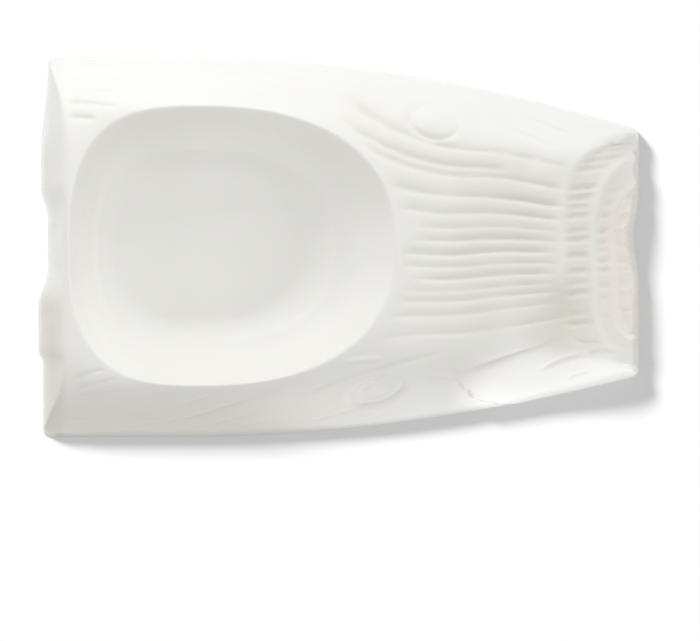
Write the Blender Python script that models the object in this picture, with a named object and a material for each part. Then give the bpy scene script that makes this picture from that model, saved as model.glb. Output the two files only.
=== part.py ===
# Oyster dish: a white porcelain half log with an oval bowl sunk into its broad end.
# Metres, +Z up, +X towards the end grain, +Y towards the back. The foot stands on z = 0.

import math

import bmesh
import bpy
import numpy as np

# Log, measured over the foot
LENGTH = 0.240
BROAD_WIDTH = 0.152
NARROW_WIDTH = 0.0985
STRAIGHT_LENGTH = 0.060  # parallel sides, from the broken end
TAPER_CURVE = 1.9
END_LEAN = 0.0022  # swing of the narrow end towards the front
CORNER_RADIUS = 0.004
WALL = 0.0052

# Heights over the table
LAND_HEIGHT = 0.0346  # crown of the log beside the bowl
VALLEY_DROP = 0.0044  # hewn hollow between the bowl and the end grain, below the crown
END_DROP = 0.0012  # rim of the end grain, below the crown
BOWL_DEPTH = 0.0228

# Flanks: plan width that each takes to climb to LAND_HEIGHT, and how it bends on the way
BOWL_FLANK = 0.0212
VALLEY_FLANK = 0.0310
END_FLANK = 0.0183
END_FLANK_START = 0.0668  # from the end's foot to where the valley's flank turns into the end's
END_FLANK_FULL = 0.0167
BOWL_FLANK_CURVE = 0.72
VALLEY_FLANK_CURVE = 0.53
END_FLANK_CURVE = 0.50
BOWL_SHOULDER = 20  # a large number gives a sharp edge between flank and crown
VALLEY_SHOULDER = 8

# Broken end
BREAK_RUN = 0.0136  # plan depth of the slope from the foot to its ridge
BREAK_WAVE = 0.0017  # swing of its foot in plan
BREAK_PITCH = 0.060
BREAK_CURVE = 0.65
BREAK_RISE = 1.055  # ridge of the slope against LAND_HEIGHT, before the two are rounded together

# Bowl, seen from above, from its widest section
LIP_MARGIN = 0.0140  # from the broken end's foot to the lip
BOWL_LEFT = 0.0513
BOWL_RIGHT = 0.0770
BOWL_HALF_WIDTH = 0.0549
LEFT_SQUARENESS = 2.8
RIGHT_SQUARENESS = 2.35
LIP_RADIUS = 0.0010
FLOOR_SHARE = 0.60  # floor against lip, before the wall's foot is rounded
WALL_FOOT = 0.26  # share of the radius over which the wall bends into the floor
FLOOR_SHIFT = 0.45  # how much steeper the wall is towards the broken end
FLOOR_DISH = 0.0010
SEAM = 0.0003  # between the bowl and the log

# Hewn valley
VALLEY_EDGE = 0.0004  # middle of its fall, past the lip
VALLEY_FALL = 0.0035
RIM_CLIMB = 0.0120  # its rise to the end grain's rim
RIM_BACK = 0.0060  # level top between that rise and the rim

# Grain: wavy grooves along the valley
GRAIN_COUNT = 16
GRAIN_STEPS = 3  # lattice lines from one groove to the next
GRAIN_DEPTH = 0.0011
GRAIN_WAVE = 0.0009
GRAIN_LENGTH = 0.062
GRAIN_LAG = 5.0  # turn of the wave from one side of the log to the other
GRAIN_UNEVEN = 2.4  # turn of the grooves' depth from one lattice line to the next
GRAIN_SHALLOW = 0.5  # how much of its depth the shallowest groove loses
GRAIN_START = 0.003  # bare band past the lip
GRAIN_RAMP = 0.009

# End grain: a bull nose with growth rings round the heart of the log
END_RUN = 0.0334  # plan depth of the bull nose, from its foot to the rim
RING_COUNT = 4
RING_STEP = 0.24  # share of the bull nose's arc between rings
RING_HEIGHT = 0.0007
RING_WIDTH = 0.0017
RIM_WIDTH = 0.0024
RING_SQUARENESS = 2.5
RING_MARGIN = 0.0030  # from the outermost ring to the flank's foot

# Facets
FLANK_STEPS = 6
BREAK_STEPS = 7
BOWL_STEPS = 12
VALLEY_STEPS = 12
END_STEPS = 33
FOOT_CROWDING = 1.6  # rows crowd towards the steep foot
CAVITY_END_STEPS = 12
CAVITY_FLANK_STEPS = 4
CAVITY_CROWN_STEPS = 12
LEAST_FLANK = 0.0005  # keeps the lattice's columns apart at the foot of the ends
SLOPE_STEP = 0.00003  # between the two heights that give a slope
BOWL_SEGMENTS = 72
LIP_STEPS = 2
WALL_RINGS = 10
FLOOR_RINGS = 2
SHARP_EDGE = math.radians(40)

PORCELAIN = (0.84, 0.83, 0.80, 1.0)
GLAZE_ROUGHNESS = 0.16
TINY = 1e-9
POLE_MERGE = 1e-5

BROKEN_END = -LENGTH / 2
END_GRAIN = LENGTH / 2
BOWL_X = BROKEN_END + LIP_MARGIN + BOWL_LEFT
LIP_END = BOWL_X + BOWL_RIGHT
END_HEIGHT = LAND_HEIGHT - END_DROP
VALLEY_HEIGHT = LAND_HEIGHT - VALLEY_DROP
QUARTER = math.pi / 2
BULL_ARC = (END_RUN + END_HEIGHT) / 2 * QUARTER
OPENING_DEPTH = 4 * LAND_HEIGHT


def smooth(value, low, high):
    share = np.clip((value - low) / (high - low), 0, 1)
    return share * share * (3 - 2 * share)


def soft_min(a, b, sharpness):
    a = np.maximum(a, TINY)
    b = np.maximum(b, TINY)
    return a * b / (a**sharpness + b**sharpness) ** (1 / sharpness)


def taper(x):
    return np.clip((x - BROKEN_END - STRAIGHT_LENGTH) / (LENGTH - STRAIGHT_LENGTH), 0, 1)


def middle(x):
    return -END_LEAN * taper(x) ** 2


def corner(distance):
    """How far a side is drawn in near an end, so that the foot's corners are round."""
    gap = np.clip(1 - distance / CORNER_RADIUS, 0, 1)
    return CORNER_RADIUS * (1 - np.sqrt(1 - gap * gap))


def half_width(x, from_break, from_end):
    straight = (BROAD_WIDTH - (BROAD_WIDTH - NARROW_WIDTH) * taper(x) ** TAPER_CURVE) / 2
    return straight - corner(from_break) - corner(from_end)


def break_wave(y):
    return BREAK_WAVE * (1 + np.cos(2 * math.pi * y / BREAK_PITCH))


def break_distance(x, y):
    """Distance from the broken end's foot, as if that foot were straight."""
    foot = BROKEN_END + break_wave(y)
    ridge = BROKEN_END + BREAK_RUN
    return np.where(x < ridge, BREAK_RUN * (x - foot) / (ridge - foot), x - BROKEN_END)


def break_slope(distance):
    return BREAK_RISE * LAND_HEIGHT * (np.maximum(distance, TINY) / BREAK_RUN) ** BREAK_CURVE


def ring_share(y, end_inset):
    """1 on the end grain's rim, less on the rings inside it, measured on the unrolled bull nose."""
    turn = np.arccos(np.clip(1 - end_inset / END_RUN, 0, 1))
    arc = BULL_ARC * turn / QUARTER + np.maximum(end_inset - END_RUN, 0)
    reach = NARROW_WIDTH / 2 - RING_MARGIN
    across = np.abs(y + END_LEAN) / reach
    return (across**RING_SQUARENESS + (arc / BULL_ARC) ** RING_SQUARENESS) ** (1 / RING_SQUARENESS)


def flank_shape(x):
    """Plan width of the flank up to LAND_HEIGHT, and the power of its curve."""
    to_valley = smooth(x, BOWL_X, LIP_END)
    to_end = smooth(x, END_GRAIN - END_FLANK_START, END_GRAIN - END_FLANK_FULL)
    run = BOWL_FLANK + (VALLEY_FLANK - BOWL_FLANK) * to_valley + (END_FLANK - VALLEY_FLANK) * to_end
    bend = (
        BOWL_FLANK_CURVE
        + (VALLEY_FLANK_CURVE - BOWL_FLANK_CURVE) * to_valley
        + (END_FLANK_CURVE - VALLEY_FLANK_CURVE) * to_end
    )
    return run, bend


def bull_nose(end_inset, run):
    """Share of the full height that a quarter ellipse reaches on its way in from the end."""
    gap = np.clip(1 - end_inset / run, 0, 1)
    return np.sqrt(1 - gap * gap)


def crown(x, y, wall):
    """Height of the log's top: land beside the bowl, valley, rim, and bull nose to the foot."""
    end_inset = END_GRAIN - x
    fall = 1 / (1 + np.exp((x - LIP_END - VALLEY_EDGE) / VALLEY_FALL))
    before_rim = (ring_share(y, end_inset) - 1) * BULL_ARC
    climb = 1 - smooth(before_rim, RIM_BACK, RIM_BACK + RIM_CLIMB)
    top = VALLEY_HEIGHT + VALLEY_DROP * fall + (END_HEIGHT - VALLEY_HEIGHT) * climb - wall
    return top * bull_nose(end_inset - wall, END_RUN - wall)


def log_height(x, y, wall=0.0):
    """Height of the log's skin over the table, or of the hollow a wall's thickness inside it."""
    from_break = break_distance(x - wall, y)
    half = half_width(x, from_break, END_GRAIN - x - wall) - wall
    side_inset = half - np.abs(y - middle(x))
    run, bend = flank_shape(x)
    flank = LAND_HEIGHT * (np.maximum(side_inset, TINY) / run) ** bend
    shoulder = BOWL_SHOULDER + (VALLEY_SHOULDER - BOWL_SHOULDER) * (
        smooth(x, BOWL_X, LIP_END) - smooth(x, END_GRAIN - END_FLANK_START, END_GRAIN - END_RUN)
    )
    arch = soft_min(flank, crown(x, y, wall), shoulder)
    return soft_min(arch, break_slope(from_break), BOWL_SHOULDER)


def lip_reach(angle):
    """Distance from the bowl's widest section to its lip, in one direction."""
    cosine = math.cos(angle)
    reach = BOWL_RIGHT if cosine > 0 else BOWL_LEFT
    square = RIGHT_SQUARENESS if cosine > 0 else LEFT_SQUARENESS
    across = abs(math.sin(angle)) / BOWL_HALF_WIDTH
    return ((abs(cosine) / reach) ** square + across**square) ** (-1 / square)


def lip_height(angle):
    reach = lip_reach(angle)
    x = np.array(BOWL_X + reach * math.cos(angle))
    y = np.array(reach * math.sin(angle))
    return float(log_height(x, y))


def row_stations(end_steps):
    """Distances from the broken end's foot at which the log is sampled along its length."""
    slope = BREAK_RUN * np.linspace(0, 1, BREAK_STEPS + 1) ** FOOT_CROWDING
    land = np.linspace(BREAK_RUN, LIP_END - BROKEN_END, BOWL_STEPS + 1)
    rim_side = LENGTH - END_RUN - RIM_BACK
    valley = np.linspace(LIP_END - BROKEN_END, rim_side, VALLEY_STEPS + 1)
    arc = np.linspace(BULL_ARC + RIM_BACK, 0, end_steps + 1)
    turned = END_RUN * (1 - np.cos(np.minimum(arc / BULL_ARC, 1) * QUARTER))
    nose = LENGTH - turned - np.maximum(arc - BULL_ARC, 0)
    return np.concatenate((slope, land[1:], valley[1:], nose[1:]))


def log_lattice(stations, flank_shares, crown_shares, wall=0.0):
    """Plan of the lattice: rows cross the log, columns follow its flanks, shoulders and grain."""
    rows = stations[:, None] * (1 - 2 * wall / LENGTH)
    x = BROKEN_END + wall + rows
    half = half_width(x, rows, LENGTH - 2 * wall - rows) - wall
    run, bend = flank_shape(x)
    height = soft_min(crown(x, middle(x), wall), break_slope(rows), BOWL_SHOULDER)
    shoulder = run * (height / LAND_HEIGHT) ** (1 / bend)
    shoulder = np.maximum(shoulder, LEAST_FLANK)
    places = crown_shares[None, :]
    sway = GRAIN_WAVE * np.sin(2 * math.pi * x / GRAIN_LENGTH + GRAIN_LAG * places) * (1 - places**2)
    top = (half - shoulder) * places + sway
    rise = shoulder * flank_shares[None, :-1]
    y = np.concatenate((rise - half, top, (half - rise)[:, ::-1]), axis=1) + middle(x)
    x = x + break_wave(y) * np.clip(1 - rows / BREAK_RUN, 0, 1)
    return x, y


def relief(x, y, grain):
    """Grain grooves in the valley and rings on the end grain, as heights over the plain skin."""
    depth = 1 - GRAIN_SHALLOW * (1 - np.sin(GRAIN_UNEVEN * grain)) / 2
    groove = (grain % GRAIN_STEPS == 0) * depth
    inward = (1 - ring_share(y, END_GRAIN - x)) * BULL_ARC
    past_lip = x - LIP_END - GRAIN_START
    along = smooth(past_lip, -GRAIN_RAMP, GRAIN_RAMP) * smooth(-inward, RIM_WIDTH, GRAIN_RAMP)
    height = -GRAIN_DEPTH * groove * along - RING_HEIGHT * smooth(inward, 0, RIM_WIDTH)
    for ring in range(1, RING_COUNT):
        outside = inward - ring * RING_STEP * BULL_ARC
        height = height + RING_HEIGHT * np.exp(-((outside / RING_WIDTH) ** 2))
    return height


def on_table(points):
    """Set the lattice's border on the table."""
    for edge in (points[0], points[-1], points[:, 0], points[:, -1]):
        edge[:, 2] = 0
    return points


def skin_points():
    """Lattice points of the log's skin, pushed out along its normals by the relief."""
    flank_shares = np.linspace(0, 1, FLANK_STEPS + 1) ** FOOT_CROWDING
    crown_shares = np.linspace(-1, 1, GRAIN_COUNT * GRAIN_STEPS + 1)
    x, y = log_lattice(row_stations(END_STEPS), flank_shares, crown_shares)
    z = log_height(x, y)
    step = SLOPE_STEP
    fall_x = (log_height(x + step, y) - log_height(x - step, y)) / (2 * step)
    fall_y = (log_height(x, y + step) - log_height(x, y - step)) / (2 * step)
    grain = np.arange(x.shape[1]) - FLANK_STEPS
    push = relief(x, y, grain) * smooth(z, 0, CORNER_RADIUS) / np.sqrt(1 + fall_x**2 + fall_y**2)
    return on_table(np.stack((x - fall_x * push, y - fall_y * push, z + push), axis=-1))


def cavity_points():
    """Lattice points of the hollow under the log, coarser than the skin."""
    flank_shares = np.linspace(0, 1, CAVITY_FLANK_STEPS + 1) ** FOOT_CROWDING
    crown_shares = np.linspace(-1, 1, CAVITY_CROWN_STEPS + 1)
    x, y = log_lattice(row_stations(CAVITY_END_STEPS), flank_shares, crown_shares, WALL)
    return on_table(np.stack((x, y, log_height(x, y, WALL)), axis=-1))


def lay_grid(bm, points):
    """A grid bent over the lattice points."""
    rows, columns = points.shape[:2]
    grid = bmesh.ops.create_grid(bm, x_segments=rows - 1, y_segments=columns - 1, size=1)
    for vert in grid["verts"]:
        row = round((vert.co.x + 1) / 2 * (rows - 1))
        column = round((vert.co.y + 1) / 2 * (columns - 1))
        vert.co = points[row, column]


def shell_solid(name):
    """Skin and hollow of the log, closed by the flat foot between their two borders."""
    bm = bmesh.new()
    lay_grid(bm, skin_points())
    lay_grid(bm, cavity_points())
    foot = [edge for edge in bm.edges if edge.is_boundary]
    bmesh.ops.triangle_fill(bm, use_beauty=True, edges=foot, normal=(0, 0, -1))
    return finish_mesh(name, bm)


def opening_solid(name):
    """Prism through the log along the bowl's lip, a seam's width larger."""
    bm = bmesh.new()
    bmesh.ops.create_cone(
        bm, cap_ends=True, segments=BOWL_SEGMENTS, radius1=1, radius2=1, depth=OPENING_DEPTH
    )
    for vert in bm.verts:
        angle = math.atan2(vert.co.y, vert.co.x)
        reach = lip_reach(angle) + SEAM
        vert.co.x = reach * math.cos(angle)
        vert.co.y = reach * math.sin(angle)
    return finish_mesh(name, bm)


def bowl_section():
    """Share of the bowl's depth at each share of its radius, from the floor's middle to the lip."""
    wall_start = FLOOR_SHARE
    floor = np.linspace(0, wall_start, FLOOR_RINGS + 1)
    wall = np.linspace(wall_start, 1, WALL_RINGS + 1)
    share = np.concatenate((floor, wall[1:]))
    climb = np.clip((share - wall_start) / (1 - wall_start), 0, 1)
    foot = WALL_FOOT / (1 - wall_start)
    bent = np.where(climb < foot, climb**2 / (2 * foot), climb - foot / 2) / (1 - foot / 2)
    return share, bent


def bowl_profile():
    """Half section as radius share, height share and offset below, floor to lip and back below."""
    mean_reach = (BOWL_HALF_WIDTH + (BOWL_LEFT + BOWL_RIGHT) / 2) / 2
    share, climb = bowl_section()
    radius = share * mean_reach
    height = climb * BOWL_DEPTH
    slope = np.gradient(height, radius)
    outward = slope / np.sqrt(1 + slope**2) * WALL
    below = 1 / np.sqrt(1 + slope**2) * WALL
    top = [(s, c, 0.0) for s, c in zip(share[:-1], climb[:-1])]
    lip = LIP_RADIUS / mean_reach
    turns = np.linspace(0, QUARTER, LIP_STEPS + 1)
    rim = [(1 - lip * (1 - math.sin(t)), 1.0, LIP_RADIUS * (1 - math.cos(t))) for t in turns]
    under = [((r + o) / mean_reach, c, b) for r, o, c, b in zip(radius, outward, climb, below)]
    inside = [point for point in under if point[0] < 1 - lip]
    last = next(point for point in under if point[0] >= 1 - lip)
    return top + rim + [(1.0, last[1], last[2])] + inside[::-1]


def bowl_solid(name):
    """The profile turned once round, then stretched to the lip's oval and bent to its height."""
    profile = bowl_profile()
    bm = bmesh.new()
    verts = [bm.verts.new((share, index, 0)) for index, (share, climb, below) in enumerate(profile)]
    edges = [bm.edges.new(pair) for pair in zip(verts, verts[1:])]
    turn = 2 * math.pi
    bmesh.ops.spin(bm, geom=verts + edges, cent=(0, 0, 0), axis=(0, 1, 0), angle=turn, steps=BOWL_SEGMENTS)
    floor = LAND_HEIGHT - BOWL_DEPTH
    for vert in bm.verts:
        share = math.hypot(vert.co.x, vert.co.z)
        angle = math.atan2(vert.co.z, vert.co.x)
        climb, below = profile[round(vert.co.y)][1:]
        towards_break = max(0.0, -math.cos(angle))
        stretched = share * (1 + FLOOR_SHIFT * max(0.0, 1 - share) * towards_break**2)
        reach = stretched * lip_reach(angle)
        dish = FLOOR_DISH * (1 - climb) * (1 - share**2)
        height = floor - dish + (lip_height(angle) - floor) * climb - below
        vert.co = (reach * math.cos(angle), reach * math.sin(angle), height)
    bmesh.ops.remove_doubles(bm, verts=bm.verts, dist=POLE_MERGE)
    return finish_mesh(name, bm)


def finish_mesh(name, bm):
    bmesh.ops.recalc_face_normals(bm, faces=bm.faces)
    mesh = bpy.data.meshes.new(name)
    bm.to_mesh(mesh)
    bm.free()
    mesh.shade_smooth()
    mesh.set_sharp_from_angle(angle=SHARP_EDGE)
    return mesh


def porcelain(name):
    material = bpy.data.materials.new(name)
    material.use_nodes = True
    surface = material.node_tree.nodes["Principled BSDF"]
    surface.inputs["Base Color"].default_value = PORCELAIN
    surface.inputs["Roughness"].default_value = GLAZE_ROUGHNESS
    surface.inputs["Metallic"].default_value = 0.0
    return material


def add_part(mesh, collection, x=0.0):
    part = bpy.data.objects.new(mesh.name, mesh)
    part.location.x = x
    part.data.materials.append(porcelain(mesh.name + "_glaze"))
    collection.objects.link(part)
    return part


def add_cutter(mesh, collection, x=0.0):
    cutter = bpy.data.objects.new(mesh.name, mesh)
    cutter.location.x = x
    cutter.hide_render = True
    cutter.display_type = "WIRE"
    collection.objects.link(cutter)
    return cutter


def cut(part, cutter):
    boolean = part.modifiers.new(cutter.name, "BOOLEAN")
    boolean.operation = "DIFFERENCE"
    boolean.object = cutter


def clear_scene():
    for thing in list(bpy.data.objects):
        bpy.data.objects.remove(thing, do_unlink=True)


def new_collection(name):
    collection = bpy.data.collections.new(name)
    bpy.context.scene.collection.children.link(collection)
    return collection


def main():
    clear_scene()
    dish = new_collection("oyster_dish")
    cutters = new_collection("cutters")
    log = add_part(shell_solid("log_shell"), dish)
    cut(log, add_cutter(opening_solid("bowl_opening"), cutters, BOWL_X))
    add_part(bowl_solid("bowl"), dish, BOWL_X)


main()
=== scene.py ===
# Oyster dish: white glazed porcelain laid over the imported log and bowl.
import math
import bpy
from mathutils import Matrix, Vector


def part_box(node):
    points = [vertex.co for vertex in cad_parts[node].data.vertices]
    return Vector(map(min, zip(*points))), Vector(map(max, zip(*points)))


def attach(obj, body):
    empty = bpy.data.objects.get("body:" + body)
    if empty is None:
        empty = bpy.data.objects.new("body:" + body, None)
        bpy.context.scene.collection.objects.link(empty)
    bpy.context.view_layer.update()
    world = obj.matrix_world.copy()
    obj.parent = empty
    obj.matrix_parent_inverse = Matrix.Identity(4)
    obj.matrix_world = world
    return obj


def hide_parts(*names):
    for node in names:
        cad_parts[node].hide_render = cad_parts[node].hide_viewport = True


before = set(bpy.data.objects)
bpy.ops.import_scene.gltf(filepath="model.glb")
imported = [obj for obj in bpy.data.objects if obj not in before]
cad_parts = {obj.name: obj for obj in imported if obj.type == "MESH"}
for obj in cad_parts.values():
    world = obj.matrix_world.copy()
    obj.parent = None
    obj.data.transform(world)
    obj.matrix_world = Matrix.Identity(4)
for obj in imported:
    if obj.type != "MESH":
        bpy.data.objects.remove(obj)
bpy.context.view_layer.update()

from types import SimpleNamespace

import bpy
from mathutils import Vector

logLow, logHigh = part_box("log_shell")
turn = 2 * math.pi
tiny = 1e-6
weldDistance = 2e-6
largestPower = 60  # of e, so that a long fall stays a number
print("frame loaded:", sorted(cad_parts))


class Flow:
    # a socket of a node tree: sums written with it add Math nodes
    def __init__(self, tree, socket=None):
        self.tree = tree
        self.socket = socket

    def node(self, kind, settings=None, sockets=None, output=0):
        made = self.tree.nodes.new(kind)
        for name, value in (settings or {}).items():
            setattr(made, name, value)
        for name, value in (sockets or {}).items():
            if isinstance(value, Flow):
                self.tree.links.new(value.socket, made.inputs[name])
            else:
                made.inputs[name].default_value = value
        return Flow(self.tree, made.outputs[output])

    def other(self, output):
        return Flow(self.tree, self.socket.node.outputs[output])

    def math(self, operation, *values, clamp=False):
        settings = {"operation": operation, "use_clamp": True} if clamp else {"operation": operation}
        return self.node("ShaderNodeMath", settings, dict(enumerate(values)))

    def __add__(self, value):
        return self.math("ADD", self, value)

    def __radd__(self, value):
        return self.math("ADD", value, self)

    def __sub__(self, value):
        return self.math("SUBTRACT", self, value)

    def __rsub__(self, value):
        return self.math("SUBTRACT", value, self)

    def __mul__(self, value):
        return self.math("MULTIPLY", self, value)

    def __rmul__(self, value):
        return self.math("MULTIPLY", value, self)

    def __truediv__(self, value):
        return self.math("DIVIDE", self, value)

    def __rtruediv__(self, value):
        return self.math("DIVIDE", value, self)

    def __pow__(self, value):
        return self.math("POWER", self, value)

    def __neg__(self):
        return self.math("MULTIPLY", self, -1)

    def __lt__(self, value):
        return self.math("LESS_THAN", self, value)

    def __gt__(self, value):
        return self.math("GREATER_THAN", self, value)

    def clamp(self):
        return self.math("ADD", self, 0, clamp=True)

    def root(self):
        return self.math("SQRT", self)

    def size(self):
        return self.math("ABSOLUTE", self)

    def floor(self):
        return self.math("FLOOR", self)

    def exp(self):
        return self.math("EXPONENT", self)

    def sin(self):
        return self.math("SINE", self)

    def cos(self):
        return self.math("COSINE", self)

    def least(self, value):
        return self.math("MINIMUM", self, value)

    def most(self, value):
        return self.math("MAXIMUM", self, value)

    def ramp(self, low, high):
        return ((self - low) / (high - low)).clamp()

    def ease(self, low, high):
        sockets = {"Value": self, "From Min": low, "From Max": high}
        return self.node("ShaderNodeMapRange", {"interpolation_type": "SMOOTHSTEP"}, sockets)


def vector(x, y, z):
    flow = next(part for part in (x, y, z) if isinstance(part, Flow))
    return flow.node("ShaderNodeCombineXYZ", None, {"X": x, "Y": y, "Z": z})


def noise(place, scale=1.0, detail=2.0):
    sockets = {"Vector": place, "Scale": scale, "Detail": detail}
    return place.node("ShaderNodeTexNoise", {"noise_dimensions": "3D"}, sockets)


def softLeast(a, b, sharpness):
    low = a.least(b).most(tiny)
    high = a.most(b).most(tiny)
    return low * (1 + (low / high) ** sharpness) ** (-1 / sharpness)


# Form that the log and the bowl share: lengths in metres, curves and shoulders as powers
formSizes = {
    "length": logHigh.x - logLow.x,
    "broadWidth": logHigh.y - logLow.y,
    "narrowWidth": 0.0985,
    "straightLength": 0.060,
    "taperCurve": 1.9,
    "endLean": 0.0022,
    "cornerRadius": 0.003,
    "wall": 0.0052,
    "landHeight": logHigh.z,
    "valleyDrop": 0.0044,
    "endDrop": 0.0012,
    "bowlFlank": 0.0212,
    "valleyFlank": 0.0310,
    "endFlank": 0.0183,
    "endFlankStart": 0.0668,
    "endFlankFull": 0.0167,
    "bowlFlankCurve": 0.72,
    "valleyFlankCurve": 0.53,
    "endFlankCurve": 0.50,
    "cornerShoulder": 6.0,
    "cornerReach": 3.0,  # in runs of the break
    "bowlShoulder": 20.0,
    "valleyShoulder": 8.0,
    "breakRun": 0.0136,
    "breakRecess": 0.0036,
    "breakCurve": 0.65,
    "bulgeCurve": 50.0,  # a bulge of the foot makes the break fuller
    "breakRise": 1.055,
    "lipMargin": 0.0140,
    "bowlLeft": 0.0513,
    "bowlRight": 0.0770,
    "bowlHalfWidth": 0.0549,
    "leftSquareness": 2.8,
    "rightSquareness": 2.35,
    "lipOut": 0.0024,  # land that belongs to the bowl's rounded lip
    "valleyEdge": 0.0004,
    "valleyFall": 0.0035,
    "rimClimb": 0.0120,
    "rimBack": 0.0060,
    "endRun": 0.0334,
    "ringSquareness": 3.0,
    "ringMiddle": -0.0003,
    "ringBack": 0.0497,
    "ringFront": 0.0476,
    "ringFrontBend": 2.4,  # rings run straighter towards the front
    "pithHollow": 0.0020,
    "pithMiddle": 0.0040,
    "pithWidth": 0.0110,
}
breakBulges = (  # foot of the broken end: across the log from, full from, full to, to, and how far out
    (-0.0900, -0.0850, -0.0465, -0.0415, 0.0020),
    (-0.0465, -0.0415, -0.0235, -0.0080, 0.0038),
    (0.0110, 0.0240, 0.0340, 0.0740, 0.0028),
)


def startTree(name, sizes):
    tree = bpy.data.node_groups.new(name, "GeometryNodeTree")
    tree.interface.new_socket(name="Geometry", in_out="OUTPUT", socket_type="NodeSocketGeometry")
    tree.interface.new_socket(name="Geometry", in_out="INPUT", socket_type="NodeSocketGeometry")
    for size in sizes:
        tree.interface.new_socket(name=size, in_out="INPUT", socket_type="NodeSocketFloat")
    inputs = tree.nodes.new("NodeGroupInput")
    s = SimpleNamespace(**{size: Flow(tree, inputs.outputs[size]) for size in sizes})
    s.start = Flow(tree)
    s.before = Flow(tree, inputs.outputs["Geometry"])
    s.brokenEnd = s.length * -0.5
    s.endGrain = s.length * 0.5
    s.bowlX = s.brokenEnd + s.lipMargin + s.bowlLeft
    s.lipEnd = s.bowlX + s.bowlRight
    s.endHeight = s.landHeight - s.endDrop
    s.valleyHeight = s.landHeight - s.valleyDrop
    s.bullArc = (s.endRun + s.endHeight) * (math.pi / 4)
    return tree, s


def taper(s, x):
    return x.ramp(s.brokenEnd + s.straightLength, s.endGrain)


def middle(s, x):
    return taper(s, x) ** 2 * s.endLean * -1


def cornerDraw(s, distance):
    gap = (1 - distance / s.cornerRadius).clamp()
    return s.cornerRadius * (1 - (1 - gap * gap).root())


def halfWidth(s, x, fromBreak, fromEnd):
    drawn = (s.broadWidth - s.narrowWidth) * taper(s, x) ** s.taperCurve
    return (s.broadWidth - drawn) / 2 - cornerDraw(s, fromBreak) - cornerDraw(s, fromEnd)


def breakBulge(y):
    out = 0
    for start, full, last, end, height in breakBulges:
        out = out + y.ease(start, full) * (1 - y.ease(last, end)) * height
    return out


def footWave(s, y):
    return s.breakRecess - breakBulge(y)


def breakDistance(s, x, y):
    foot = s.brokenEnd + footWave(s, y)
    ridge = s.brokenEnd + s.breakRun
    near = s.breakRun * (x - foot) / (ridge - foot)
    return near + (x - s.brokenEnd - near) * (x > ridge)


def pithNotch(s, y):
    return s.pithHollow * (-(((y - s.pithMiddle) / s.pithWidth) ** 2)).exp()


def endDistance(s, x, y):
    ridge = s.endGrain - s.endRun
    foot = s.endGrain - pithNotch(s, y)
    near = s.endRun * (foot - x) / (foot - ridge)
    return near + (s.endGrain - x - near) * (x < ridge)


def ringShare(s, y, endInset):
    bent = (1 - endInset / s.endRun).clamp()
    arc = s.bullArc * bent.math("ARCCOSINE", bent) * (2 / math.pi) + (endInset - s.endRun).most(0)
    aside = y - s.ringMiddle
    across = aside.most(0) / s.ringBack + ((-aside).most(0) / s.ringFront) ** s.ringFrontBend
    inside = across ** s.ringSquareness + (arc / s.bullArc) ** s.ringSquareness
    return inside ** (1 / s.ringSquareness)


def flankShape(s, x):
    toValley = x.ease(s.bowlX, s.lipEnd)
    toEnd = x.ease(s.endGrain - s.endFlankStart, s.endGrain - s.endFlankFull)
    run = s.bowlFlank + (s.valleyFlank - s.bowlFlank) * toValley + (s.endFlank - s.valleyFlank) * toEnd
    bend = s.bowlFlankCurve + (s.valleyFlankCurve - s.bowlFlankCurve) * toValley
    return run, bend + (s.endFlankCurve - s.valleyFlankCurve) * toEnd


def crown(s, x, y, wall):
    endInset = endDistance(s, x, y)
    fall = 1 / (1 + ((x - s.lipEnd - s.valleyEdge) / s.valleyFall).least(largestPower).exp())
    beforeRim = (ringShare(s, y, endInset) - 1) * s.bullArc
    climb = 1 - beforeRim.ease(s.rimBack, s.rimBack + s.rimClimb)
    top = s.valleyHeight + s.valleyDrop * fall + (s.endHeight - s.valleyHeight) * climb - wall
    gap = (1 - (endInset - wall) / (s.endRun - wall)).clamp()
    return top * (1 - gap * gap).root()


def logHeight(s, x, y, wall):
    fromBreak = breakDistance(s, x - wall, y)
    half = halfWidth(s, x, fromBreak, s.endGrain - x - wall) - wall
    inset = (half - (y - middle(s, x)).size()).most(tiny)
    run, bend = flankShape(s, x)
    flank = s.landHeight * (inset / run) ** bend
    hewn = x.ease(s.bowlX, s.lipEnd) - x.ease(s.endGrain - s.endFlankStart, s.endGrain - s.endRun)
    corner = 1 - x.ease(s.brokenEnd + s.breakRun, s.brokenEnd + s.breakRun * s.cornerReach)
    shoulder = s.bowlShoulder + (s.valleyShoulder - s.bowlShoulder) * hewn
    shoulder = shoulder + (s.cornerShoulder - s.bowlShoulder) * corner
    arch = softLeast(flank, crown(s, x, y, wall), shoulder)
    bend = s.breakCurve - breakBulge(y) * s.bulgeCurve
    slope = s.breakRise * s.landHeight * (fromBreak.most(tiny) / s.breakRun) ** bend
    return softLeast(arch, slope, s.bowlShoulder)


# Columns of both lattices, counted round the foot from the front corner of the end grain
columns = {"right": 230, "back": 195, "left": 105, "front": 240}
columnCount = sum(columns.values())
cornerCrowding = 0.5


def footPoint(s, share, wall):
    right = columns["right"] / columnCount
    back = right + columns["back"] / columnCount
    left = back + columns["left"] / columnCount
    side = 1 - share.ramp(right, back) + share.ramp(left, 1)
    side = side * (1 - cornerCrowding) + (1 - (side * math.pi).cos()) * (cornerCrowding / 2)
    across = share.ramp(0, right) * 2 - 1 - share.ramp(back, left) * 2
    along = side * (s.length - wall * 2)
    x = s.brokenEnd + wall + along
    half = halfWidth(s, x, along, s.length - wall * 2 - along) - wall
    y = middle(s, x) + half * across
    atBreak = (1 - along / s.breakRun).clamp()
    atEnd = 1 - ((s.length - along) / s.endRun).clamp()
    return x + footWave(s, y) * atBreak - pithNotch(s, y) * atEnd, y


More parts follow.
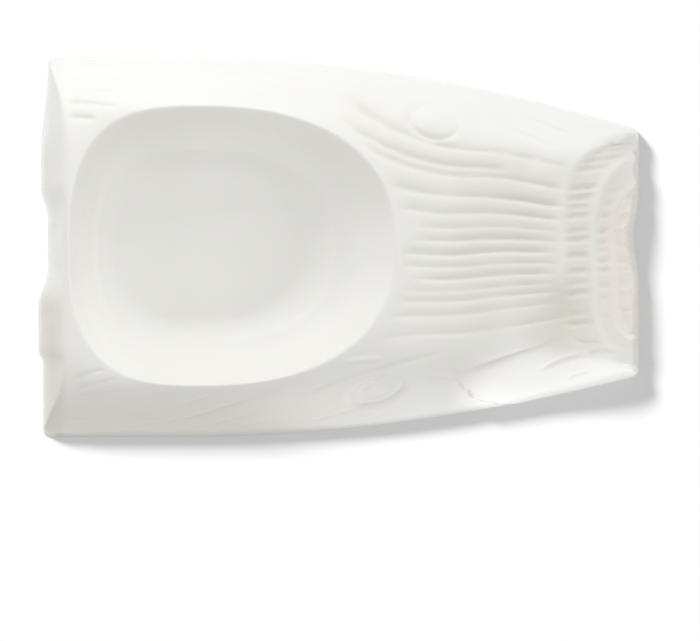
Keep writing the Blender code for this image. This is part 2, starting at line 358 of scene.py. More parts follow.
def lipReach(s, cosine, sine):
    ahead = cosine > 0
    reach = s.bowlLeft + (s.bowlRight - s.bowlLeft) * ahead
    square = s.leftSquareness + (s.rightSquareness - s.leftSquareness) * ahead
    along = (cosine.size() / reach).most(tiny)
    across = (sine.size() / s.bowlHalfWidth).most(tiny)
    return (along**square + across**square) ** (-1 / square)


def lattice(s, rows):
    sockets = {"Size X": 1.0, "Size Y": 1.0, "Vertices X": columnCount + 1, "Vertices Y": rows + 1}
    grid = s.start.node("GeometryNodeMeshGrid", None, sockets)
    grid = grid.node("GeometryNodeFlipFaces", None, {"Mesh": grid})
    index = s.start.node("GeometryNodeInputIndex")
    column = (index / (rows + 1)).floor()
    row = index - column * (rows + 1)
    share = column / columnCount
    footX, footY = footPoint(s, share, s.wall * 0)
    ahead = footX - s.bowlX
    distance = (ahead * ahead + footY * footY).root()
    return grid, row, share, ahead / distance, footY / distance


def keepValue(mesh, name, value):
    settings = {"data_type": "FLOAT", "domain": "POINT"}
    sockets = {"Geometry": mesh, "Name": name, "Value": value}
    return mesh.node("GeometryNodeStoreNamedAttribute", settings, sockets)


def finishTree(tree, mesh, material):
    mesh = mesh.node("GeometryNodeMergeByDistance", None, {"Geometry": mesh, "Distance": weldDistance})
    mesh = mesh.node("GeometryNodeSetShadeSmooth", None, {"Geometry": mesh, "Shade Smooth": True})
    mesh = mesh.node("GeometryNodeRealizeInstances", None, {"Geometry": mesh})
    mesh = mesh.node("GeometryNodeSetMaterial", None, {"Geometry": mesh, "Material": material})
    output = tree.nodes.new("NodeGroupOutput")
    tree.links.new(mesh.socket, output.inputs["Geometry"])


def makePiece(name, trees, sizes, sharpAngle):
    piece = bpy.data.objects.new(name, bpy.data.meshes.new(name))
    bpy.context.scene.collection.objects.link(piece)
    for tree in trees:
        modifier = piece.modifiers.new(tree.name, "NODES")
        modifier.node_group = tree
        for item in tree.interface.items_tree:
            if item.in_out == "INPUT" and item.name in sizes:
                modifier[item.identifier] = sizes[item.name]
    evaluated = piece.evaluated_get(bpy.context.evaluated_depsgraph_get())
    mesh = bpy.data.meshes.new_from_object(evaluated)
    piece.modifiers.clear()
    mesh.set_sharp_from_angle(angle=math.radians(sharpAngle))
    piece.data = mesh
    print(name, "made:", len(mesh.polygons), "faces")
    return piece


# Relief of the log, carved like split and weathered wood: lengths in metres, edges and leans as shares
reliefSizes = {
    "grainDepth": 0.0014,
    "grainBehind": 0.0019,  # a groove's gentle side and its steep one
    "grainBefore": 0.0009,
    "grainSway": 0.0005,
    "grainSwayLength": 0.048,
    "knotEdge": 0.90,
    "knotMoatWidth": 0.15,
    "ledgeDepth": 0.00045,
    "ledgeSpacing": 0.0072,
    "ledgeRise": 0.29,
    "strokeDepth": 0.0005,
    "rimHeight": 0.0004,
    "rimWidth": 0.0026,
    "rimCut": 0.0029,  # how far the rim is hewn inwards at the back corner
    "ringHeight": 0.0008,
    "ringWidth": 0.0020,
    "tickDepth": 0.0011,
    "tickWidth": 0.0022,
    "tickLean": 0.10,
    "flakeHeight": 0.0009,
    "dipDepth": 0.0023,
    "breakChip": 0.0009,
    "carveFoot": 0.003,  # the carving fades out at the foot and, as a share, at the lip
    "carveLip": 0.03,
}
logLattice = {"outerRows": 122, "innerRows": 6, "rowCrowding": 1.7, "sharpAngle": 50}
grainFan = {  # furrows spread from the middle towards the bowl and draw in towards the end grain
    "middle": 0.0564,
    "back": (-0.005, 0.015),
    "spread": 3.0,
    "backSpread": -1.8,
    "backBend": 180,
    "pinch": 1.2,
    "pinchBend": 120,
    "swayStart": 0.052,
    "swayLean": 40,
}
grainCut = {
    "waves": (28, 90, 1),  # to a metre, along and across the log
    "wander": 0.0012,
    "fadeIn": 0.012,
    "fadeOut": 0.008,
    "evenDepth": 0.7,
    "unevenDepth": 1.2,
    "deeper": 0.35,  # on the back half, towards the bowl
    "deeperAlong": (0.055, 0.020),
    "deeperAcross": (0.015, 0.030),
}
grainGrooves = (  # across the log at the fan's middle, depth share, start and end along the log
    (0.0372, 1.10, 0.000, 0.048),
    (0.0372, 0.70, 0.034, 0.092),
    (0.0303, 1.00, -0.002, 0.068),
    (0.0268, 0.85, 0.004, 0.090),
    (0.0188, 1.00, 0.012, 0.090),
    (0.0124, 1.00, 0.018, 0.089),
    (0.0070, 0.60, 0.028, 0.088),
    (0.0023, 0.95, 0.026, 0.088),
    (-0.0028, 0.90, 0.018, 0.087),
    (-0.0076, 0.65, 0.018, 0.088),
    (-0.0122, 0.80, 0.027, 0.087),
    (-0.0168, 0.55, 0.020, 0.086),
    (-0.0206, 0.70, 0.018, 0.088),
    (-0.0258, 0.55, 0.016, 0.090),
    (-0.0332, 0.50, 0.012, 0.092),
)
knots = (
    {
        "place": (0.0374, 0.0492),
        "long": 0.0106,
        "wide": 0.0070,
        "lean": -16,
        "flat": 0.0,
        "dome": 0.0010,
        "moat": 0.0007,
    },
    {
        "place": (0.0146, -0.0580),
        "long": 0.0118,
        "wide": 0.0054,
        "lean": 16,
        "flat": 0.45,
        "dome": -0.0017,
        "moat": 0.0012,
    },
)
knotMoat = {"all": 0.5, "front": 0.8, "turn": (0.4, -0.6)}  # deeper on a knot's front side
ledges = {  # faint split lines along the flanks
    "waves": (22, 22, 60),
    "wander": 0.9,
    "patches": (30, 30, 30),
    "patchEdge": (0.3, 0.6),
    "width": 0.10,
    "fadeBreak": (-0.112, -0.102),
    "fadeEnd": (0.040, 0.000),
    "fadeTop": (0.034, 0.026),
    "fadeFoot": (0.004, 0.014),
    "backLoss": 0.75,
    "backSide": (-0.010, 0.010),
}
endCarving = {  # rim, rings and ticks of the end grain
    "waves": (60, 60, 1),
    "waveLayer": 0.5,
    "wobble": 0.05,
    "tickWobble": 0.002,
    "corner": (0.028, 0.045),
    "rimFade": (-0.020, -0.006),
    "step": 0.006,
    "cornerStep": -0.002,
    "roughWaves": (170, 110, 1),
    "roughLayer": 3.5,
    "roughEdge": (0.3, 0.7),
    "roughLeast": 0.5,
    "lastRing": 0.5,  # bands that end further in have no ring
    "ringFade": (-0.044, -0.032),
    "bandSoft": (0.0005, 0.0055),
    "tickFoot": (0.006, 0.016),
    "foot": (0.001, 0.010),
}
breakCarving = {
    "reach": (0.95, 0.5),  # in runs of the break
    "fibreWaves": (90, 30, 30),
    "chipWaves": (55, 45, 30),
    "chipShare": 1.1,
    "level": 1.25,
}
tickBands = (  # from and to inwards of the rim as shares, then ticks: across the log, depth share
    (0.0, 0.28, (
        (0.0437, 0.7), (0.0403, 0.8), (0.0375, 0.5), (0.0340, 0.8), (0.0310, 0.9), (0.0235, 1.0),
        (0.0195, 1.0), (0.0158, 0.6), (0.0123, 0.9), (0.0064, 0.7), (0.0032, 1.0), (-0.0032, 0.9),
        (-0.0096, 0.7), (-0.0142, 0.4), (-0.0180, 0.9), (-0.0259, 0.5), (-0.0299, 0.9),
        (-0.0372, 0.7), (-0.0408, 0.5),
    )),
    (0.28, 0.48, (
        (0.0211, 0.4), (0.0161, 0.5), (0.0115, 0.7), (0.0052, 0.8), (0.0008, 0.7), (-0.0020, 0.5),
        (-0.0062, 1.0), (-0.0099, 0.9), (-0.0159, 0.8), (-0.0205, 0.5), (-0.0279, 0.4),
    )),
    (0.48, 0.88, (
        (0.0192, 1.2), (0.0121, 0.6), (0.0055, 0.6), (-0.0005, 0.5), (-0.0068, 0.7), (-0.0125, 0.6),
        (-0.0152, 0.5), (-0.0192, 0.7), (-0.0259, 0.9), (-0.0299, 0.5), (-0.0365, 0.4),
    )),
)
dip = {"place": (0.0880, -0.0285), "along": 0.0080, "across": 0.0110}
flake = {  # a split-off face in front of the valley, from its ragged edge up to a crease
    "start": (0.0452, 0.0476),
    "fade": (0.084, 0.056),
    "edge": -0.0540,
    "edgeRise": (-0.0002, 0.0006),
    "crease": (0.0404, -0.0528),
    "creaseSlope": 0.326,
    "creaseFall": (-0.0002, -0.0016),
}
flakeSteps = (  # how far the flake's ragged front edge steps forwards, from and to along the log
    (0.0026, 0.0475, 0.0498),
    (0.0038, 0.0512, 0.0532),
    (0.0013, 0.0545, 0.0572),
    (0.0010, 0.0600, 0.0630),
)
strokes = (  # from, to, bow to the left of that line, depth share, width
    ((0.0404, -0.0528), (0.0920, -0.0360), 0.0006, 1.60, 0.0010),
    ((0.0570, -0.0490), (0.0910, -0.0372), 0.0010, -0.90, 0.0008),
    ((0.0780, -0.0500), (0.1030, -0.0420), 0.0016, 1.80, 0.0009),
    ((0.0890, -0.0530), (0.1010, -0.0490), 0.0004, 0.90, 0.0006),
    ((0.0704, 0.0526), (0.0924, 0.0438), 0.0004, 0.80, 0.0006),
    ((0.0600, 0.0492), (0.0900, 0.0366), 0.0006, 0.60, 0.0010),
    ((-0.0216, -0.0620), (0.0444, -0.0412), 0.0015, 1.00, 0.0010),
    ((0.0012, -0.0460), (0.0188, -0.0444), 0.0004, -1.00, 0.0010),
    ((0.0340, -0.0512), (0.0465, -0.0524), 0.0004, -1.20, 0.0010),
    ((0.0472, -0.0556), (0.0530, -0.0600), 0.0002, 1.00, 0.0006),
    ((0.0528, -0.0610), (0.0648, -0.0630), 0.0006, 0.80, 0.0006),
    ((-0.1086, 0.0568), (-0.0860, 0.0546), 0.0006, 1.80, 0.0011),
    ((-0.1076, 0.0506), (-0.0950, 0.0498), 0.0003, 1.60, 0.0011),
    ((-0.1046, 0.0630), (-0.0770, 0.0600), -0.0004, 0.50, 0.0006),
    ((-0.1066, -0.0536), (-0.0900, -0.0478), 0.0003, 0.70, 0.0008),
    ((-0.1056, -0.0574), (-0.0850, -0.0518), 0.0003, 0.70, 0.0008),
    ((-0.1066, -0.0604), (-0.0820, -0.0566), 0.0002, 0.50, 0.0006),
)
strokeFade = {"start": (-0.05, 0.3), "end": (1.05, 0.7)}  # as shares of a stroke
tintAndShade = {  # where the glaze runs warm or pools, and where shade is painted into it
    "heart": (0.92, 0.36),
    "raggedWaves": 130.0,
    "ragged": 0.004,
    "bulge": (0.0022, 0.0038),
    "bulgeReach": (0.0095, 0.0025),
    "breakFront": (-0.010, -0.030),
    "breakReach": (0.0140, 0.0060),
    "breakShade": 0.85,
    "dipShade": 0.85,
    "flank": (-0.054, -0.070),
    "flankEnd": (0.030, -0.030),
    "flankShade": 0.4,
    "valleyStart": (0.036, 0.056),
    "valleyEnd": (0.102, 0.094),
    "valleySide": (0.042, 0.030),
    "valleyShade": 0.4,
    "pooledShadeGain": 600,
}


def waves(place, counts):
    return vector(*(part * count for part, count in zip(place, counts)))


def groove(offset, width):
    return 1 / (1 + (offset / width) ** 2)


def ridge(offset, width):
    return (-((offset / width) ** 2)).exp()


def valleyDip(x, y):
    dipX, dipY = dip["place"]
    return ridge(x - dipX, dip["along"]) * ridge(y - dipY, dip["across"])


def grainField(s, x, y):
    along = x - grainFan["middle"]
    left = (-along).most(0)
    right = along.most(0)
    back = y.ease(*grainFan["back"])
    spread = left * (grainFan["spread"] + grainFan["backSpread"] * back)
    spread = spread + left * left * (grainFan["backBend"] * back)
    pinch = right * grainFan["pinch"] + right * right * grainFan["pinchBend"]
    phase = (x - grainFan["swayStart"]) * turn / s.grainSwayLength + y * grainFan["swayLean"]
    return (y - s.grainSway * phase.sin()) / (1 + spread - pinch)


def valleyGrain(s, x, y):
    wander = noise(waves((x, y, 0.0), grainCut["waves"])) - 0.5
    field = grainField(s, x, y) + wander * grainCut["wander"]
    depth = 0
    for across, share, start, end in grainGrooves:
        there = x.ease(start, start + grainCut["fadeIn"]) * x.ease(end, end - grainCut["fadeOut"])
        offset = field - across
        depth = depth + groove((offset / s.grainBehind).least(offset / s.grainBefore), 1) * there * share
    uneven = grainCut["evenDepth"] + wander * grainCut["unevenDepth"]
    deeper = x.ease(*grainCut["deeperAlong"]) * y.ease(*grainCut["deeperAcross"]) * grainCut["deeper"]
    return depth * s.grainDepth * uneven * (1 + deeper)


def knotRelief(s, x, y):
    height = 0
    for knot in knots:
        lean = math.radians(knot["lean"])
        knotX, knotY = knot["place"]
        aheadX, aheadY = x - knotX, y - knotY
        u = (aheadX * math.cos(lean) + aheadY * math.sin(lean)) / knot["long"]
        v = (aheadY * math.cos(lean) - aheadX * math.sin(lean)) / knot["wide"]
        radius = (u * u + v * v).root()
        deep = knotMoat["all"] + v.ease(*knotMoat["turn"]) * knotMoat["front"]
        moat = ridge(radius - s.knotEdge, s.knotMoatWidth) * deep
        dome = 1 - radius.ease(knot["flat"], s.knotEdge)
        height = height + dome * knot["dome"] - moat * knot["moat"]
    return height


def strokeRelief(s, x, y):
    height = 0
    for (x0, y0), (x1, y1), bow, share, width in strokes:
        length = math.hypot(x1 - x0, y1 - y0)
        cosine, sine = (x1 - x0) / length, (y1 - y0) / length
        along = ((x - x0) * cosine + (y - y0) * sine) / length
        across = (y - y0) * cosine - (x - x0) * sine - along * (1 - along) * (4 * bow)
        fade = along.ease(*strokeFade["start"]) * along.ease(*strokeFade["end"])
        height = height - ridge(across, width) * fade * share
    return height * s.strokeDepth


def flakeRelief(s, x, y):
    edge = flake["edge"]
    for step, start, end in flakeSteps:
        edge = edge - x.ease(start, end) * step
    creaseX, creaseY = flake["crease"]
    crease = creaseY + (x - creaseX) * flake["creaseSlope"]
    there = (y - edge).ease(*flake["edgeRise"]) * (y - crease).ease(*flake["creaseFall"])
    return there * x.ease(*flake["start"]) * x.ease(*flake["fade"]) * s.flakeHeight


def flankLedges(s, x, y, z):
    wander = noise(waves((x, y, z), ledges["waves"])) - 0.5
    phase = (z - x * s.ledgeRise) / s.ledgeSpacing + wander * ledges["wander"]
    nearest = phase - (phase + 0.5).floor()
    there = x.ease(*ledges["fadeBreak"]) * x.ease(*ledges["fadeEnd"])
    there = there * z.ease(*ledges["fadeFoot"]) * z.ease(*ledges["fadeTop"])
    there = there * (1 - ledges["backLoss"] * y.ease(*ledges["backSide"]))
    patches = noise(waves((x, y, z), ledges["patches"])).ease(*ledges["patchEdge"])
    return -groove(nearest, ledges["width"]) * there * patches * s.ledgeDepth


def endGrainRelief(s, x, y, z):
    wobble = noise(waves((x, y, endCarving["waveLayer"]), endCarving["waves"])) - 0.5
    inward = (1 - ringShare(s, y, endDistance(s, x, y)) + wobble * endCarving["wobble"]) * s.bullArc
    corner = y.ease(*endCarving["corner"])
    fromRim = inward - s.rimCut * corner
    rim = ridge(fromRim, s.rimWidth) * s.rimHeight * y.ease(*endCarving["rimFade"])
    step = endCarving["step"] + corner * endCarving["cornerStep"]
    height = rim - fromRim.ease(0.0, step) * (1 + corner) * s.ringHeight
    rough = noise(waves((x, y, endCarving["roughLayer"]), endCarving["roughWaves"]))
    least = endCarving["roughLeast"]
    rough = least + rough.ease(*endCarving["roughEdge"]) * (1 - least)
    leaned = y - (x - s.endGrain + s.endRun / 2) * s.tickLean + wobble * endCarving["tickWobble"]
    near, far = endCarving["bandSoft"]
    ringFade = y.ease(*endCarving["ringFade"])
    tickFoot = z.ease(*endCarving["tickFoot"])
    for start, end, ticks in tickBands:
        first, last = s.bullArc * start, s.bullArc * end
        if end < endCarving["lastRing"]:
            height = height + ridge(inward - last, s.ringWidth) * s.ringHeight * ringFade
        band = fromRim.ease(first + near, first + far) * inward.ease(last - near, last - far)
        depth = 0
        for across, share in ticks:
            depth = depth + (leaned - across).size().ease(s.tickWidth, 0) * share
        height = height - depth * band * rough * s.tickDepth * tickFoot
    return height * z.ease(*endCarving["foot"])


def brokenRelief(s, x, y, z):
    near, far = (share * s.breakRun for share in breakCarving["reach"])
    there = breakDistance(s, x, y).ease(near, far)
    fibre = noise(waves((y, z, x), breakCarving["fibreWaves"]))
    place = waves((y, z, x), breakCarving["chipWaves"])
    chips = place.node("ShaderNodeTexVoronoi", {"feature": "SMOOTH_F1"}, {"Vector": place, "Scale": 1.0})
    return (chips * breakCarving["chipShare"] + fibre - breakCarving["level"]) * there * s.breakChip


def logForm(sizes, material):
    outerRows, innerRows = logLattice["outerRows"], logLattice["innerRows"]
    rows = outerRows + innerRows + 1
    tree, s = startTree("logForm", sizes)
    grid, row, share, cosine, sine = lattice(s, rows)
    row = row * (row < rows - 0.5)  # the last row closes on the first
    outer = row < outerRows + 0.5
    out = row / outerRows * outer + (rows - 1 - row) / (innerRows - 1) * (1 - outer)
    wall = s.wall * (1 - outer)
    footX, footY = footPoint(s, share, wall)
    reach = lipReach(s, cosine, sine) + s.lipOut
    pull = 1 - (1 - out).most(0) ** logLattice["rowCrowding"]
    lipX = s.bowlX + reach * cosine
    lipY = reach * sine
    x = lipX + (footX - lipX) * pull
    y = lipY + (footY - lipY) * pull
    z = logHeight(s, x, y, wall) * (out < 1 - tiny)
    skin = grid.node("GeometryNodeSetPosition", None, {"Geometry": grid, "Position": vector(x, y, z)})
    carve = outer * z.ease(0.0, s.carveFoot) * out.ease(0.0, s.carveLip)
    finishTree(tree, keepValue(skin, "carve", carve), material)
    return tree


# Painted shade: the glaze is darkened over the whole valley, and in the carved hollows it is darkened
# partly as pooled glaze and partly as painted shade.
def poolingAndShade(x, y, carved):
    along = x.ease(*tintAndShade["valleyStart"]) * x.ease(*tintAndShade["valleyEnd"])
    valley = along * y.size().ease(*tintAndShade["valleySide"])
    return (valley * tintAndShade["valleyShade"] - carved * tintAndShade["pooledShadeGain"]).clamp()


# Painted shade: darker, warmer glaze on the bulges and the front of the broken end and on the front flank,
# where they turn away from the light.
def paintedFlankShade(s, x, y, place):
    fromBreak = breakDistance(s, x, y)
    ragged = (noise(place, tintAndShade["raggedWaves"]) - 0.5) * tintAndShade["ragged"]
    bulge = breakBulge(y + ragged).ease(*tintAndShade["bulge"]) * (fromBreak + ragged).ease(*tintAndShade["bulgeReach"])
    front = y.ease(*tintAndShade["breakFront"]) * fromBreak.ease(*tintAndShade["breakReach"]) * tintAndShade["breakShade"]
    flank = y.ease(*tintAndShade["flank"]) * x.ease(*tintAndShade["flankEnd"]) * tintAndShade["flankShade"]
    return bulge.most(front).most(flank)


def logRelief(sizes, material):
    tree, s = startTree("logRelief", sizes)
    place = s.start.node("GeometryNodeInputPosition")
    split = place.node("ShaderNodeSeparateXYZ", None, {"Vector": place})
    x, y, z = split, split.other(1), split.other(2)
    dipped = valleyDip(x, y)
    carved = strokeRelief(s, x, y) + flankLedges(s, x, y, z) - valleyGrain(s, x, y)
    carved = carved - dipped * s.dipDepth + endGrainRelief(s, x, y, z)
    carved = carved + brokenRelief(s, x, y, z) + flakeRelief(s, x, y)
    mask = s.start.node("GeometryNodeInputNamedAttribute", {"data_type": "FLOAT"}, {"Name": "carve"})
    height = (carved + knotRelief(s, x, y)) * mask
    normal = s.start.node("GeometryNodeInputNormal")
    push = normal.node("ShaderNodeVectorMath", {"operation": "SCALE"}, {"Vector": normal, "Scale": height})
    skin = s.before.node("GeometryNodeSetPosition", None, {"Geometry": s.before, "Offset": push})
    skin = keepValue(skin, "pooledShade", poolingAndShade(x, y, carved))
    skin = keepValue(skin, "heart", ringShare(s, y, endDistance(s, x, y)).ease(*tintAndShade["heart"]))
    # The dip's darker glaze is painted shade as well.
    skin = keepValue(skin, "paintedShade", paintedFlankShade(s, x, y, place).most(dipped * tintAndShade["dipShade"]))
    finishTree(tree, skin, material)
    return tree


def buildLog(material):
    sizes = {**formSizes, **reliefSizes}
    trees = logForm(sizes, material), logRelief(sizes, material)
    return makePiece("log_skin", trees, sizes, logLattice["sharpAngle"])


# Section of the bowl: lengths in metres, and shares of the way from its middle to the lip
bowlSizes = {
    "bowlDepth": 0.0228,
    "floorShare": 0.50,
    "wallFoot": 0.40,
    "floorShift": 0.45,
    "floorDish": 0.0010,
    "stepShare": 0.70,  # soft step in the wall
    "stepHeight": 0.0015,
    "lipRound": 0.0020,
}
bowlLattice = {"topRows": 80, "underRows": 22, "lipCrowding": 1.8, "sharpAngle": 60}


def buildBowl(material):
    topRows, underRows = bowlLattice["topRows"], bowlLattice["underRows"]
    rows = topRows + underRows + 1
    sizes = {**formSizes, **bowlSizes}
    tree, s = startTree("bowlTurn", sizes)
    grid, row, share, cosine, sine = lattice(s, rows)
    reach = lipReach(s, cosine, sine)
    lip = logHeight(s, s.bowlX + reach * cosine, reach * sine, s.wall * 0)
    floor = s.landHeight - s.bowlDepth
    meanReach = (s.bowlHalfWidth + (s.bowlLeft + s.bowlRight) / 2) / 2
    foot = s.wallFoot / (1 - s.floorShare)
    steep = 1 / (1 - foot / 2) / (1 - s.floorShare)

    top = row < topRows + 0.5
    edge = 1 + s.lipOut / reach
    slopeOut = s.bowlDepth * steep / meanReach
    outward = slopeOut / (1 + slopeOut * slopeOut).root() * s.wall / meanReach
    up = (row / topRows).least(1)
    down = ((rows - row) / underRows).least(1)
    over = 1 - (1 - up) ** bowlLattice["lipCrowding"]
    radius = edge * over * top + (edge - outward) * down * (1 - top)

    rise = ((radius - s.floorShare) / (1 - s.floorShare)).most(0)
    bent = rise * rise / (foot * 2)
    climb = (bent + (rise - foot / 2 - bent) * (rise > foot)) / (1 - foot / 2)
    slope = (rise / foot).least(1) * slopeOut
    tilt = (1 + slope * slope).root()
    wide = radius + (1 - top) * slope / tilt * s.wall / meanReach
    shift = 1 + s.floorShift * (1 - wide).most(0) * (-cosine).most(0) ** 2
    plan = wide * shift * reach
    x = s.bowlX + plan * cosine
    y = plan * sine
    dish = s.floorDish * (1 - climb).most(0) * (1 - radius * radius).most(0)
    below = ((radius - s.floorShare) / (s.stepShare - s.floorShare)).clamp()
    above = ((1 - radius) / (1 - s.stepShare)).clamp()
    step = s.stepHeight * (below * below).least(above * above) * top
    side = floor - dish + (lip - floor) * climb + step
    land = logHeight(s, x, y, s.wall * 0)
    rounded = side.math("SMOOTH_MIN", side, land, s.lipRound)
    z = rounded * top + (side - s.wall / tilt) * (1 - top)
    shape = grid.node("GeometryNodeSetPosition", None, {"Geometry": grid, "Position": vector(x, y, z)})
    finishTree(tree, shape, material)
    return makePiece("bowl_turn", (tree,), sizes, bowlLattice["sharpAngle"])


# White glaze over porcelain
glazeLook = {
    "body": (0.855, 0.853, 0.832),
    # The next colour is a darker glaze tone that varies at random, and also the painted shade of the valley
    # and its hollows.
    "poolAndShade": (0.730, 0.722, 0.690),
    "blush": (0.825, 0.765, 0.705),
    # Painted shade on the flanks and the broken end:
    "shadeTint": (0.715, 0.675, 0.605),
    "biscuit": (0.82, 0.80, 0.76),
    "smoothest": 0.10,
    "roughest": 0.17,
    "biscuitRough": 0.55,
    "biscuitHeight": 0.0007,
    "cloudWaves": 22.0,
    "cloudDetail": 3.0,
    "cloudPool": 0.5,
    "pooledShadeShare": 0.7,
    "heartBlush": (0.3, 0.8),  # all over, and more where the cloud is thick
    "shadeAmounts": (0.4, 0.7),
    "speckWaves": 240.0,
    "bumpStrength": 0.04,
    "bumpHeight": 0.0004,
    "bumpCloud": 4,
    "ior": 1.5,
    "coat": 0.25,
    "coatRough": 0.04,
}


def mixColour(share, first, second):
    settings = {"data_type": "RGBA", "blend_type": "MIX"}
    first = first if isinstance(first, Flow) else (*first, 1)
    firstInput, secondInput, colourOutput = 6, 7, 2  # the node's sockets for colours
    sockets = {"Factor": share, firstInput: first, secondInput: (*second, 1)}
    return share.node("ShaderNodeMix", settings, sockets, colourOutput)


def keptValue(start, name):
    return start.node("ShaderNodeAttribute", {"attribute_name": name}, None, "Fac")


def glaze(name, look, carved):
    material = bpy.data.materials.new(name)
    material.use_nodes = True
    tree = material.node_tree
    surface = tree.nodes["Principled BSDF"]
    start = Flow(tree)
    place = start.node("ShaderNodeTexCoord", None, None, "Object")
    height = place.node("ShaderNodeSeparateXYZ", None, {"Vector": place}, "Z")
    cloud = noise(place, look["cloudWaves"], look["cloudDetail"])
    speck = noise(place, look["speckWaves"])
    foot = height.ease(look["biscuitHeight"], look["biscuitHeight"] / 2)
    colour = mixColour((cloud - 0.5).size() * look["cloudPool"], look["body"], look["poolAndShade"])
    # On the log: pooled glaze and painted shade in the valley, a warm blush in the end grain's heart, and
    # painted shade on the flanks and broken end.
    if carved:
        colour = mixColour(keptValue(start, "pooledShade") * look["pooledShadeShare"], colour, look["poolAndShade"])
        for kept, amounts, tint in (("heart", "heartBlush", "blush"), ("paintedShade", "shadeAmounts", "shadeTint")):
            even, cloudy = look[amounts]
            colour = mixColour(keptValue(start, kept) * (even + cloud * cloudy), colour, look[tint])
    colour = mixColour(foot, colour, look["biscuit"])
    glossy = look["smoothest"] + (look["roughest"] - look["smoothest"]) * cloud
    rough = glossy + (look["biscuitRough"] - glossy) * foot
    grainy = speck + cloud * look["bumpCloud"]
    sockets = {"Strength": look["bumpStrength"], "Distance": look["bumpHeight"], "Height": grainy}
    bump = start.node("ShaderNodeBump", None, sockets)
    for socket, flow in {"Base Color": colour, "Roughness": rough, "Normal": bump}.items():
        tree.links.new(flow.socket, surface.inputs[socket])
    for socket, value in {"IOR": "ior", "Coat Weight": "coat", "Coat Roughness": "coatRough"}.items():
        surface.inputs[socket].default_value = look[value]
    return material


logPiece = buildLog(glaze("log_glaze", glazeLook, True))
bowlPiece = buildBowl(glaze("bowl_glaze", glazeLook, False))
dressed = (logPiece, "log_shell", "log_porcelain"), (bowlPiece, "bowl", "bowl_porcelain")
for piece, node, slot in dressed:
    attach(piece, "root")
    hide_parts(node)
print("porcelain dressed")


# Studio: white floor with a short shadow, soft light from behind, camera straight above
studio = {
    "floorSize": 40.0,
    "floorGrey": 0.45,
    "ambient": (0.516, 0.511, 0.490),
    "sunBearing": 315.5,
    "sunHeight": 43.5,
    "sunDistance": 2.0,
    "sunWidth": 10,
    "sunShare": 1.03,
    "viewCentre": (0.0044, -0.0294),
    "viewWidth": 0.280,
    "viewDistance": 2.0,
    "sensor": 36.0,
}
lamps = (  # name, bearing in degrees from the back towards the right, height, distance, width, depth, watts
    ("back_softbox", 0, 20, 1.20, 0.50, 0.40, 4.85),
    ("left_softbox", 330, 56, 0.45, 0.30, 0.20, 0.49),
    ("right_fill", 116, 20, 1.20, 0.50, 0.40, 3.65),
    ("left_fill", 270, 20, 1.20, 0.50, 0.40, 1.55),
)
flankSpots = (  # low light along the front flank, for the log alone
    {
        "name": "facet_spot",
        "target": (0.0915, -0.0560, 0.012),
        "roll": -6,
        "cone": 7.1,
        "slim": 0.52,
        "blend": 0.60,
        "watts": 9.4,
    },
    {
        "name": "knot_spot",
        "target": (0.022, -0.0620, 0.012),
        "roll": -5,
        "cone": 10.0,
        "slim": 0.30,
        "blend": 1.00,
        "watts": 4.0,
    },
)
spotPlace = {"bearing": 180, "height": 11, "distance": 0.80, "radius": 0.004}


def seenDirectly(start):
    path = start.node("ShaderNodeLightPath")
    return (path + path.other("Is Glossy Ray") + path.other("Is Transmission Ray")).clamp()


def makeFloor():
    half = studio["floorSize"] / 2
    mesh = bpy.data.meshes.new("studio_floor")
    corners = [(-half, -half, 0), (half, -half, 0), (half, half, 0), (-half, half, 0)]
    mesh.from_pydata(corners, [], [(0, 1, 2, 3)])
    floor = bpy.data.objects.new("studio_floor", mesh)
    bpy.context.scene.collection.objects.link(floor)
    material = bpy.data.materials.new("studio_paper")
    material.use_nodes = True
    tree = material.node_tree
    tree.nodes.remove(tree.nodes["Principled BSDF"])
    start = Flow(tree)
    grey = studio["floorGrey"]
    toWhite = [1 - grey * (ambient + studio["sunShare"]) for ambient in studio["ambient"]]
    paper = start.node("ShaderNodeBsdfDiffuse", None, {"Color": (grey, grey, grey, 1)})
    sockets = {"Color": (*toWhite, 1), "Strength": seenDirectly(start)}
    lift = start.node("ShaderNodeEmission", None, sockets)
    both = start.node("ShaderNodeAddShader", None, {0: paper, 1: lift})
    tree.links.new(both.socket, tree.nodes["Material Output"].inputs["Surface"])
    mesh.materials.append(material)
    return floor


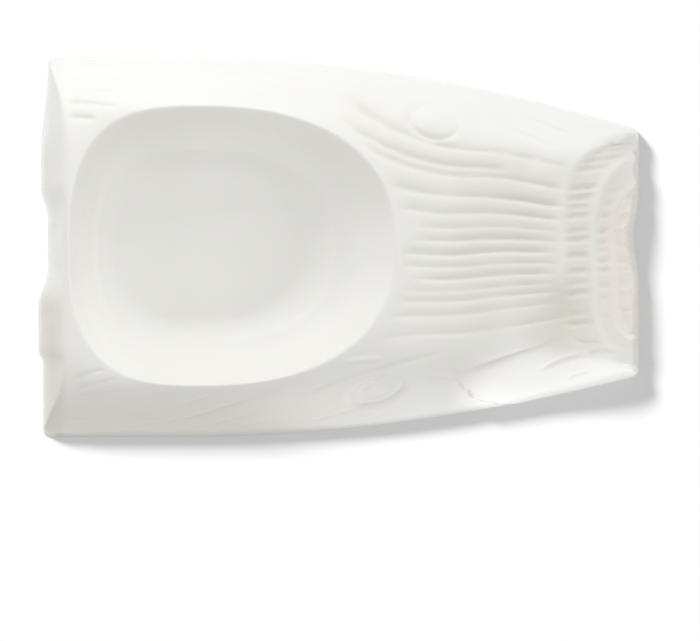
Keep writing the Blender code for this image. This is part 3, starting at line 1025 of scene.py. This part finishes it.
def aim(lamp, target, bearing, height, distance, lit):
    bearing, height = math.radians(bearing), math.radians(height)
    level = math.cos(height)
    toLamp = Vector((math.sin(bearing) * level, math.cos(bearing) * level, math.sin(height)))
    lamp.location = Vector(target) + toLamp * distance
    lamp.rotation_euler = toLamp.to_track_quat("Z", "Y").to_euler()
    lamp.visible_glossy = False
    bpy.context.scene.collection.objects.link(lamp)
    lamp.light_linking.receiver_collection = bpy.data.collections.new(lamp.name)
    for piece in lit:
        lamp.light_linking.receiver_collection.objects.link(piece)


def makeLamps(floor):
    for name, bearing, height, distance, width, depth, watts in lamps:
        light = bpy.data.lights.new(name, "AREA")
        light.shape = "RECTANGLE"
        light.size, light.size_y = width, depth
        light.energy = watts
        lamp = bpy.data.objects.new(name, light)
        aim(lamp, (0, 0, 0), bearing, height, distance, (logPiece, bowlPiece))
    for spot in flankSpots:
        light = bpy.data.lights.new(spot["name"], "SPOT")
        light.spot_size = math.radians(spot["cone"])
        light.spot_blend = spot["blend"]
        light.shadow_soft_size = spotPlace["radius"]
        light.energy = spot["watts"]
        lamp = bpy.data.objects.new(spot["name"], light)
        lamp.scale.y = spot["slim"]
        place = [spotPlace[name] for name in ("bearing", "height", "distance")]
        aim(lamp, spot["target"], *place, (logPiece,))
        lamp.rotation_euler.rotate_axis("Z", math.radians(spot["roll"]))
    sun = bpy.data.lights.new("shadow_sun", "SUN")
    sun.angle = math.radians(studio["sunWidth"])
    sun.energy = math.pi * studio["sunShare"] / math.sin(math.radians(studio["sunHeight"]))
    place = [studio[name] for name in ("sunBearing", "sunHeight", "sunDistance")]
    aim(bpy.data.objects.new("shadow_sun", sun), (0, 0, 0), *place, (floor,))


def makeWorld():
    world = bpy.data.worlds.new("studio_air")
    world.use_nodes = True
    tree = world.node_tree
    start = Flow(tree)
    colour = mixColour(seenDirectly(start), studio["ambient"], (1, 1, 1))
    tree.links.new(colour.socket, tree.nodes["Background"].inputs["Color"])
    bpy.context.scene.world = world


def makeCamera():
    data = bpy.data.cameras.new("plan_camera")
    data.sensor_width = studio["sensor"]
    data.lens = studio["sensor"] * studio["viewDistance"] / studio["viewWidth"]
    camera = bpy.data.objects.new("plan_camera", data)
    camera.location = (*studio["viewCentre"], studio["viewDistance"])
    bpy.context.scene.collection.objects.link(camera)
    bpy.context.scene.camera = camera


makeLamps(makeFloor())
makeWorld()
makeCamera()
bpy.context.scene.view_settings.view_transform = "Standard"
print("studio set")
